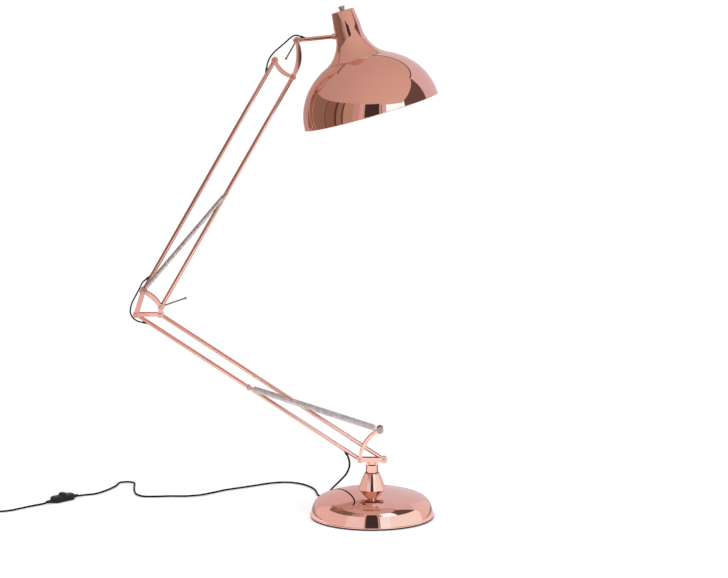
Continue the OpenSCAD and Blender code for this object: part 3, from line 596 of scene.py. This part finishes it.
def floor_paper():
    """The round of paper that the copper mirrors in the floor's place."""
    paint = floor_paint("floor_paper", PAPER_GLOW)
    depth = paint.node("ShaderNodeSeparateXYZ", {}, {"Vector": paint.place}, output=1)
    behind = paint.step(depth, BEHIND_START, BEHIND_END)
    fade(paint, behind, (NEAR_TONE, BEHIND_TONE), (PAPER_GLOW, BEHIND_GLOW))
    ground("floor_paper", PAPER_R, PAPER_Z, paint, True)


def upright(name, paint, spans):
    """Upright walls round the lamp: a span has a radius, two end angles, a foot and two end tops."""
    bm = bmesh.new()
    for radius, start, stop, low, first_top, last_top in spans:
        posts = []
        for k in range(WALL_STEPS + 1):
            share = k / WALL_STEPS
            a = math.radians(start + (stop - start) * share)
            x, y = radius * math.sin(a), -radius * math.cos(a)
            top = first_top + (last_top - first_top) * share
            posts.append((bm.verts.new((x, y, low)), bm.verts.new((x, y, top))))
        for left, right in zip(posts, posts[1:]):
            bm.faces.new((left[0], right[0], right[1], left[1]))
    stage_piece(name, bm, paint, True)


def flats_paint():
    """Card colours by angle: one set low down, another from head height up."""
    f = Finish("flats", base_color=(0, 0, 0, 1), specular_ior_level=0.0, emission_strength=1.0)
    x, y, z = f.node("ShaderNodeSeparateXYZ", {}, {"Vector": f.place}, output=(0, 1, 2))
    turn = f.math("ARCTAN2", x, 0 - y) / (2 * math.pi) + 0.5
    sets = []
    for flats in (LOW_FLATS, HIGH_FLATS):
        stops = [((degrees + 180) / 360, colour) for degrees, colour in flats]
        sets.append(f.node("ShaderNodeValToRGB", {"stops": stops}, {"Fac": turn}))
        sets[-1].socket.node.color_ramp.interpolation = "CONSTANT"
    rise = z - BACK_RISE * f.step(y, RISE_START, RISE_END)
    f.set("Emission Color", f.mix(f.step(rise, LOW_END, HIGH_START), *sets))
    return f


def studio():
    """The tent that the copper mirrors: flats round the front, a taller back wall and a dim ceiling."""
    world = bpy.data.worlds.new("studio")
    bpy.context.scene.world = world
    world.use_nodes = True
    sky = Graph(world.node_tree)
    way = sky.node("ShaderNodeTexCoord", output="Generated")
    lean = sky.node("ShaderNodeVectorMath", {"operation": "DOT_PRODUCT"}, {0: way, 1: CEILING_LEAN},
                    output="Value")
    background = world.node_tree.nodes["Background"]
    sky.feed(background.inputs["Color"], sky.mix(lean + 0.5, CEILING_DIM, CEILING_LIT))
    back = (TENT_R, BACK_RIGHT, BACK_LEFT + 360)
    upright("tent_walls", flats_paint(), [
        (*back, 0, BACK_TOP, BACK_TOP),
        (TENT_R, BACK_LEFT, GAP_LEFT, 0, LEFT_TOP, LEFT_TOP),
        (GAP_R, *GAP_WALL, 0, GAP_TOP, GAP_TOP),
        (FAR_GAP_R, *FAR_GAP_WALL, GAP_TOP, FAR_GAP_TOP, FAR_GAP_TOP),
        (TENT_R, GAP_RIGHT, RISE_RIGHT, 0, RIGHT_TOP, RIGHT_TOP),
        (TENT_R, RISE_RIGHT, BACK_RIGHT, 0, RIGHT_TOP, BACK_TOP)])
    rail = Finish("rail", base_color=(0, 0, 0, 1), specular_ior_level=0.0, emission_color=DARK_EDGE,
                  emission_strength=1.0)
    upright("tent_rail", rail, [(*back, BACK_TOP, BACK_TOP + RAIL_H, BACK_TOP + RAIL_H)])


def soft_light(name, place, size, power):
    """A large soft light that the copper doesn't mirror."""
    data = bpy.data.lights.new(name, "AREA")
    data.shape, data.size, data.energy = "DISK", size, power
    obj = bpy.data.objects.new(name, data)
    obj.location = place
    obj.rotation_euler = (LIGHT_AIM - Vector(place)).to_track_quat("-Z", "Y").to_euler()
    obj.visible_glossy = False
    bpy.context.scene.collection.objects.link(obj)


camera()
floor()
floor_paper()
studio()
soft_light("overhead", OVERHEAD_AT, OVERHEAD_SIZE, OVERHEAD_POWER)
soft_light("side", SIDE_LIGHT_AT, SIDE_LIGHT_SIZE, SIDE_LIGHT_POWER)
bpy.context.scene.view_settings.view_transform = "Standard"


# Lead and cord bridges, on the solids' own routes but for the eased hairpin on the floor
def points(route):
    return [Vector(p) * MM for p in route]


DROP = [(-80, 0, 198), (-74.5, 0, 187.5), (-69.5, 3, 174), (-67.5, 11, 158), (-70, 26, 140), (-78, 50, 119),
        (-90, 84, 97), (-105, 122, 74), (-120, 158, 51), (-134, 190, 29), (-147, 215, 12), (-157, 238, 4.5),
        (-161, 250, 3)]
FLOOR = [(-165, 262), (-168, 271), (-173, 306), (-180, 346), (-198, 390), (-228, 429), (-268, 448),
         (-318, 438), (-370, 402), (-420, 368), (-462, 338), (-500, 300), (-536, 268), (-580, 253),
         (-630, 253), (-678, 247), (-712, 250), (-734, 276), (-745, 318), (-751, 364), (-754, 410),
         (-755, 428.5), (-758.5, 441.8), (-768.2, 451.5), (-781.5, 455), (-794.8, 451.5), (-804.5, 441.8),
         (-808, 428.5), (-809, 410), (-822, 366), (-842, 320), (-866, 284)]
TAIL = [(-1026, 134), (-1050, 112), (-1074, 86), (-1096, 63), (-1118, 50), (-1142, 45.5), (-1166, 45)]
ELBOW = [(31.8, -26.1), (20, -24.3), (16.5, -23.8), (3, -20), (-9, -11.5), (-16.5, 2), (-16.8, 17), (-12, 34),
         (-4, 50), (4, 65), (12, 79.5), (20, 95.5), (28.2, 103.7), (31.5, 106), (41, 112.65)]
HEAD = [(-25.1, -35), (-24, -23), (-21, -8), (-14, 8), (-1, 24), (16, 39), (33, 53.5), (47, 66), (61, 72.8),
        (75.4, 69.5), (86.5, 65)]
COIL_AT, COIL_OUT, COIL_PITCH, COIL_TURNS, COIL_Z, COIL_LAYER = (-1190, 7), 38, 7, 3.25, 4.4, 6.8
COIL_STEPS, COIL_START_Y, SWITCH_CORD_Z = 24, 45, 6
# Points of a route where its pieces meet, and where the lead comes to rest on the floor
DROP_SPLIT, DROP_DOWN, ELBOW_SPLIT, HEAD_SPLIT = 5, 11, 6, 5


def switch_point(x, z):
    a = math.radians(SWITCH_TURN)
    return (SWITCH_AT.x + x * math.cos(a), SWITCH_AT.y + x * math.sin(a), z)


def coil_point(t):
    """One layer in, a climb, one layer out."""
    radius = COIL_OUT - COIL_PITCH * min(t, COIL_TURNS - t)
    climb = min(1, max(0, (t - COIL_TURNS / 2 + 0.25) / 0.5))
    a = math.radians(90 + 360 * t)
    return (COIL_AT[0] + radius * math.cos(a), COIL_AT[1] + radius * math.sin(a),
            COIL_Z + COIL_LAYER * climb * climb * (3 - 2 * climb))


def lead_route():
    """The lead from the bar to the plug, through the switch and the coil."""
    half = SWITCH_LEN / 2
    flat = [(x, y, FLEX_R) for x, y in FLOOR]
    through = [half + 12, half, 0, -half, -half - 12]
    switch = [switch_point(half + 40, FLEX_R), switch_point(half + 22, FLEX_R + 1)]
    switch += [switch_point(x, SWITCH_CORD_Z) for x in through]
    switch += [switch_point(-half - 24, FLEX_R + 1)]
    tail = [(x, y, FLEX_R) for x, y in TAIL]
    tail += [(COIL_AT[0] + k * FLEX_R, COIL_START_Y, COIL_Z) for k in (4, 2)]
    coil = [coil_point(k / COIL_STEPS) for k in range(int(COIL_STEPS * COIL_TURNS) + 1)]
    x, y, top = PLUG_AT.x, COIL_AT[1] - 2 * FLEX_R, COIL_Z + COIL_LAYER
    out = [(x, y, top), (x, y - 12, top - 0.8), (x, y - 24, 8)]
    out += [(x, PLUG_AT.y + 8, PLUG_AT.z), (x, PLUG_AT.y + 2, PLUG_AT.z)]
    return points(DROP + flat + switch + tail + coil + out)


def bridge_route(pivot_at, route):
    return [pivot_at + Vector((x, 0, z)) * MM for x, z in route]


def bridge(name, route, split, bodies, node):
    """A cord bridge over a pivot in two pieces, split where the route's pieces meet."""
    dense = smooth_route(route, ROUTE_STEPS)
    cut = split * ROUTE_STEPS
    for part, line, pair, ends in (("near", dense[:cut + 1], bodies[:2], (route[1], route[split])),
                                   ("far", dense[cut:], bodies[1:], (route[split], route[-3]))):
        cord = tube(name + "_" + part, line, BRIDGE_R, "flex")
        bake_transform(cord)
        round(route_length(line), 3)
    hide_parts(node)


lead = lead_route()
lead_line = smooth_route(lead, ROUTE_STEPS)
top_line, run_line = lead_line[:DROP_SPLIT * ROUTE_STEPS + 1], lead_line[DROP_SPLIT * ROUTE_STEPS:]
lead_top = tube("lead_top", top_line, FLEX_R, "flex")
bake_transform(lead_top)
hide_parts("cord_drop")
lead_run = tube("lead_run", run_line, FLEX_R, "flex")
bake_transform(lead_run)
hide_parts("cord_floor", "cord_tail", "cord_coil")
bridge("elbow_bridge", bridge_route(E1, ELBOW), ELBOW_SPLIT,
       ("lower_arm", "elbow", "upper_arm"), "cord_elbow")
bridge("head_bridge", bridge_route(H3, HEAD), HEAD_SPLIT,
       ("upper_arm", "head_bracket", "head_arm"), "cord_head")


# Foot switch and plug: the case's heights and how far it draws in at each, then the plug's sections
# as place, width and thickness
CASE_LEVELS = [(0, 1.2), (0.5, 0.35), (1.3, 0), (10.8, 0), (11.2, 0.55), (11.8, 0.55), (12.2, 0),
               (14.6, 0.25), (16.4, 1.3), (17.8, 3.0), (18.6, 4.8), (19, 6.6)]
SEAT_Z, SEAT_TOP, BUTTON_FOOT, BUTTON_TOP = 18.2, 20, 17, 26
RELIEF_FOOT_R, RELIEF_TOP_R, RELIEF_LEN, RELIEF_SIDES = 5.6, 4.4, 22, 32
RELIEF_RINGS, RINGS_START = {"Count": 4, "Pitch": 4.4, "Radius": 5.0, "Shrink": 0.05}, 4.5
PLUG_SECTIONS = [(3, 9, 9), (0, 12, 11), (-5, 17, 13.6), (-10, 25, 14.6), (-15, 31, 15), (-20, 32.5, 15),
                 (-27, 33.4, 15), (-34.6, 34, 15), (-35.6, 33, 14), (-36, 31, 12)]
PLUG_SIDES, PLUG_SQUARE, PLUG_RELIEF_R = 40, 0.55, (5.4, 4.2)


def stadium(length, width, z):
    """A long round-ended ring of points at a height."""
    ring = []
    for end in (1, -1):
        for k in range(END_STEPS + 1):
            a = math.radians(-90 + 180 * k / END_STEPS + (0 if end > 0 else 180))
            ring.append(((length - width) / 2 * end + width / 2 * math.cos(a), width / 2 * math.sin(a), z))
    return ring


def foot_switch():
    """A rounded case in two halves with a seam, ribbed reliefs at both ends, and a round button."""
    place = Matrix.Translation(SWITCH_AT * MM) @ Matrix.Rotation(math.radians(SWITCH_TURN), 4, "Z")
    rings = [stadium(SWITCH_LEN - 2 * d, SWITCH_W - 2 * d, z) for z, d in CASE_LEVELS]
    case = loft("switch_case", rings, "black_plastic", place)
    stands_for(case, "foot_switch_base", "foot_switch_top")
    seat_line = rounded([(BUTTON_R + 0.3, SEAT_Z, 0), (BUTTON_R + 0.3, SEAT_TOP, 0.4),
                         (BUTTON_R + 2.2, SEAT_TOP, 0.7), (BUTTON_R + 3.4, SEAT_Z, 0)])
    seat = lathe("switch_button_ring", seat_line, "black_plastic", place)
    button_line = rounded([(0, BUTTON_FOOT, 0), (BUTTON_R, BUTTON_FOOT, 0), (BUTTON_R, 25.2, 1.2),
                           (BUTTON_R - 3, BUTTON_TOP, 1.0), (BUTTON_R - 4.2, 25.4, 0.8), (0, 25.1, 0)])
    button = lathe("switch_button", button_line, "black_plastic", place)
    stands_for(button, "foot_switch_button")
    parts = [case, seat]
    for end, side in ((1, "near"), (-1, "far")):
        cone = rounded([(FLEX_R + 0.05, 0, 0), (RELIEF_FOOT_R, 0, 0), (RELIEF_TOP_R, RELIEF_LEN, 0.6),
                        (FLEX_R + 0.1, RELIEF_LEN, 0)])
        mouth = Vector((end * (SWITCH_LEN / 2 - 2), 0, SWITCH_CORD_Z)) * MM
        out = place @ Matrix.Translation(mouth) @ along((0, 0, 0), (end, 0, 0))
        relief = lathe("switch_relief_" + side, cone, "black_plastic", out, RELIEF_SIDES)
        rings = grown("switch_relief_rings_" + side, relief_rings, RELIEF_RINGS, "black_plastic",
                      out @ Matrix.Translation((0, 0, RINGS_START * MM)))
        parts += [relief, rings]
    for part in parts[1:]:
        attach(part, "base")
    return parts + [button]


def plug():
    """A flat moulded two-pin plug that narrows to a plain relief."""
    place = Matrix.Translation(PLUG_AT * MM)
    sections = []
    for y, width, thick in PLUG_SECTIONS:
        ring = []
        for k in range(PLUG_SIDES):
            a = 2 * math.pi * k / PLUG_SIDES
            c, s = math.cos(a), math.sin(a)
            x = width / 2 * math.copysign(abs(c) ** PLUG_SQUARE, c)
            z = thick / 2 * math.copysign(abs(s) ** PLUG_SQUARE, s)
            ring.append((x, y, z))
        sections.append(ring)
    body = stands_for(loft("plug_moulding", sections, "black_plastic", place), "plug_body")
    relief_place = place @ Matrix.Translation((0, 2 * MM, 0)) @ along((0, 0, 0), (0, 1, 0), Vector((1, 0, 0)))
    relief_line = rounded([(FLEX_R + 0.05, -3, 0), (PLUG_RELIEF_R[0], -3, 0), (PLUG_RELIEF_R[1], 8, 0.6),
                           (FLEX_R + 0.1, 8, 0)])
    relief = lathe("plug_relief", relief_line, "black_plastic", relief_place, RELIEF_SIDES)
    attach(relief, "base")
    pins = dressed("plug_pins", edge=PLATE_EDGE)
    return [body, relief, pins]


relief_rings = ring_tree()
tie = dressed("cord_tie", edge=TIE_EDGE)
on_lead = foot_switch() + plug() + [tie]
round(route_length(top_line), 3)
round(route_length(run_line), 3)


# Base, turret and collar
def base_line():
    """The cover from its rolled lip up: bulged side, shoulder and crown, each tangent to the next."""
    side = Vector((FOOT_R, PAD_T)) - BULGE_R * heading(FOOT_TILT)
    shoulder = side + (BULGE_R - SHOULDER_R) * heading(SIDE_END)
    end = shoulder + SHOULDER_R * heading(SHOULDER_END)
    crown_r = end.x / math.cos(math.radians(SHOULDER_END))
    crown_low = end.y - crown_r * math.sin(math.radians(SHOULDER_END))
    line = [(0, PAD_T), (BASE_R - LIP_R, PAD_T)]
    line += arc((BASE_R - LIP_R, PAD_T + LIP_R), LIP_R, -90, 60, 12)[1:]
    line += arc(side, BULGE_R, SIDE_START, SIDE_END, 40)
    line += arc(shoulder, SHOULDER_R, SIDE_END, SHOULDER_END, 40)[1:]
    return line + arc((0, crown_low), crown_r, SHOULDER_END, 90, 60)[1:]


def base():
    """Felt foot, spun cover, turret and its collar."""
    line = base_line()
    crown_z = line[-1][1]
    stands_for(lathe("base_dome", line, "copper", segments=192), "base_cover")
    pad = rounded([(0, 0, 0), (PAD_R, 0, 0.8), (PAD_R, PAD_T, 0.5), (0, PAD_T, 0)])
    stands_for(lathe("felt_foot", pad, "felt", segments=128), "base_pad")
    turret = rounded([(0, crown_z - 3.5, 0), (CONE_FOOT_R - 0.8, crown_z - 3.5, 0),
                      (CONE_FOOT_R, crown_z - 2, 0.5), (CONE_TOP_R, CONE_TOP_Z - 2, 1.2),
                      (CONE_TOP_R - 2.3, CONE_TOP_Z, 0.6), (0, CONE_TOP_Z, 0)], 6)
    stands_for(lathe("turret", turret, "copper", segments=128), "base_cone")
    collar = rounded([(0, CONE_TOP_Z, 0), (COLLAR_R, CONE_TOP_Z, 0.4), (COLLAR_R, CONE_TOP_Z + COLLAR_T, 0.4),
                      (0, CONE_TOP_Z + COLLAR_T, 0)])
    stands_for(lathe("turret_collar", collar, "bush"), "post_bush")


# Arms: bars, springs
def bar(node, start, stop):
    """A round bar between the eyes at two pivots."""
    end = (stop - start).length / MM - EYE_IN
    line = rounded([(0, EYE_IN, 0), (BAR_R, EYE_IN, 0.3), (BAR_R, end, 0.3), (0, end, 0)])
    stands_for(lathe(node + "_rod", line, "copper", along(start, stop - start), 64), node)


def spring(node, tree, start, stop, side):
    """A close-wound spring laid between its two ends."""
    offset = Vector((0, side * SPRING_Y * MM, 0))
    reach = (stop - start).length / MM - 2 * COIL_START
    way = (stop - start).normalized()
    values = {"Length": reach, "Coil Radius": COIL_R, "Wire Radius": WIRE_R * WIRE_SHARE,
              "Turns": reach / (2 * WIRE_R)}
    first = start + offset + way * COIL_START * MM
    coil = grown(node + "_wound", tree, values, "spring_steel", along(first, way))
    first + way * reach * MM
    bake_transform(coil)
    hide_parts(node)


base()
bar("lower_bar_a", A0, E1)
bar("lower_bar_b", B0, E2)
bar("upper_bar_c", E3, H3)
bar("upper_bar_d", E4, H4)
wound = spring_tree()
lower_pin = A0 + LOWER * LOWER_PIN_AT * MM
upper_pin = E4 + UPPER * UPPER_PIN_AT * MM
for side, end in ((-1, "front"), (1, "rear")):
    spring("lower_spring_" + end, wound, lower_pin, SPRING_ANCHOR, side)
    spring("upper_spring_" + end, wound, upper_pin, E3, side)

# Rigid pieces whose solids have the right shape
for node in ("swivel_post", "base_cheek_front", "base_cheek_rear", "elbow_cheek_front", "elbow_cheek_rear",
             "head_cheek_front", "head_cheek_rear", "lower_ends_a", "lower_ends_b", "upper_ends_c",
             "upper_ends_d", "head_tube"):
    dressed(node, edge=PLATE_EDGE)
for node in ("base_cheek_screws", "base_pivot_bolts", "spring_anchor_bolt", "lower_spring_pin",
             "lower_anchor_eyes", "upper_spring_pin", "upper_anchor_eyes", "head_lock_nuts", "lower_sleeves",
             "upper_sleeves", "head_sleeve"):
    dressed(node)
for node in ("elbow_bolts", "head_bolts"):
    dressed(node, "bolt")
for node in ("elbow_lever", "head_lever"):
    dressed(node, "lever")


# Shade, lampholder and bulb, in the shade's own frame: rim at height 0
SHADE_PLACE = (Matrix.Translation(H5 + TUBE * HEAD_REACH * MM)
               @ Matrix.Rotation(math.radians(-SHADE_TILT), 4, "Y")
               @ Matrix.Translation((0, 0, -SHADE_JOINT * MM)))
# Arcs of its outline, drawn for a first radius and scaled to the shade's own
K = SHADE_R / 200.5
SIDE_C, SIDE_R, TOP_C, TOP_R, MEET_R = (32.5 * K, -4 * K), 168 * K, (0, -41.8 * K), 218 * K, 142.1 * K
CREASE_R, CREASE_Z, FLARE_R, SEAM_R = 82.8 * K, 160 * K, 105.5 * K, 1.0


def shade_line(inset):
    """The sheet's line from rim to top: side, dome, flare, neck, and the drawn-in top."""
    flare_z = CREASE_Z + math.sqrt(FLARE_R ** 2 - (NECK_R + FLARE_R - CREASE_R) ** 2)
    meet = math.degrees(math.acos((MEET_R - SIDE_C[0]) / SIDE_R))
    rim = math.degrees(math.asin((2.4 - SIDE_C[1]) / SIDE_R))
    crease = math.degrees(math.acos((CREASE_R + 1) / TOP_R))
    foot = math.degrees(math.atan2(CREASE_Z - flare_z, CREASE_R - NECK_R - FLARE_R)) % 360
    line = arc(SIDE_C, SIDE_R - inset, rim, meet, 36)
    line += arc(TOP_C, TOP_R - inset, meet, crease, 36)[1:]
    if inset == 0:
        line += arc((CREASE_R + 0.5, CREASE_Z - 0.2), SEAM_R, -25, 140, 8)
    line += arc((NECK_R + FLARE_R, flare_z), FLARE_R + inset, foot, 180, 36)[1:]
    top = [(NECK_R - inset, SHADE_H - 48, 60), (NECK_R - 6.6 - inset, SHADE_H - inset, 1.6)]
    return line + rounded([(*line[-1], 0), *top, (5, SHADE_H - inset, 0)])[1:]


def shade():
    """The spun sheet with its rolled rim, and the boss that takes the head tube."""
    outer, inner = shade_line(0), shade_line(SHADE_T)
    bead = arc((SHADE_R - SHADE_T / 2, RIM_BEAD_R), RIM_BEAD_R, 150, 390, 12)
    stands_for(lathe("shade_sheet", [outer[-1], *reversed(outer), *reversed(bead), inner[0], *inner[1:]],
                     "shade_copper", SHADE_PLACE, 224), "shade_shell")
    near, far = HEAD_REACH - BOSS_NEAR, HEAD_REACH - BOSS_FAR
    boss = rounded([(BOSS_BORE, near, 0), (BOSS_R, near, 0.6), (BOSS_R, far, 0), (BOSS_BORE, far, 0)])
    made = lathe("shade_boss", boss, "shade_copper", along(H5, TUBE), 64)
    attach(made, "shade")


def lamp_inside():
    """Top nut, lampholder, bulb cap and bulb."""
    nut = rounded([(0, SHADE_H, 0), (7.5, SHADE_H, 0), (7.5, SHADE_H + 8.2, 0.4), (9.5, SHADE_H + 8.2, 0.5),
                   (9.5, SHADE_H + 12.2, 0.6), (7, SHADE_H + 14, 0.8), (0, SHADE_H + 14, 0)])
    stands_for(lathe("top_nut", nut, "steel", SHADE_PLACE, 48), "shade_top_nut")
    low, high = SHADE_H - 143, SHADE_H - 52
    holder = rounded([(14, low + 40, 0), (14, low, 0.8), (20, low, 1), (20, low + 9, 0.5),
                      (18.6, low + 10.5, 0.5), (18.6, low + 14, 0.5), (20, low + 15.5, 0.5),
                      (20, low + 44, 0.6), (18.8, low + 45.5, 0.5), (18.8, low + 48, 0.5),
                      (20, low + 49.5, 0.6), (20, low + 76, 2), (9, high, 1), (5.1, high, 0)])
    stands_for(lathe("lampholder_shell", holder, "black_plastic", SHADE_PLACE, 72), "lampholder")
    ribs = grown("lampholder_ribs", rib_tree(), {"Count": 40, "Radius": 19.7, "Width": 1.6, "Height": 22},
                 "black_plastic", SHADE_PLACE @ Matrix.Translation((0, 0, (low + 29.5) * MM)))
    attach(ribs, "shade")
    thread = []
    for k in range(THREAD_TURNS):
        z = SHADE_H - 136 + THREAD_PITCH * k
        thread += [(12.5, z, 0.4), (13.3, z + THREAD_PITCH / 2, 0.5)]
    cap_low, cap_high = SHADE_H - 140, SHADE_H - 98
    cap = rounded([(0, cap_low, 0), (12.8, cap_low, 0), *thread, (12.4, SHADE_H - 115, 0.6),
                   (5, SHADE_H - 110, 0.6), (4, SHADE_H - 110, 0), (4, cap_high, 1), (0, cap_high, 0)])
    stands_for(lathe("bulb_screw_cap", cap, "steel", SHADE_PLACE, 64), "bulb_cap")
    glass = arc((0, SHADE_H - 210), BULB_R, -90, 28, 48)
    neck = [(*glass[-1], 0), (20, SHADE_H - 176, 60), (13, SHADE_H - 152, 20), (13, cap_low, 0)]
    envelope = glass + rounded(neck, 10)[1:]
    stands_for(lathe("bulb_envelope", envelope, "bulb_glass", SHADE_PLACE), "bulb_glass")


shade()
lamp_inside()

# Hidden ironwork keeps its solids and takes its finish
for node in ("base_weight", "base_stud", "lampholder_stem"):
    frame["nodes"][node].data.materials.clear()
    frame["nodes"][node].data.materials.append(FINISH[slots[node]])

bpy.context.view_layer.update()
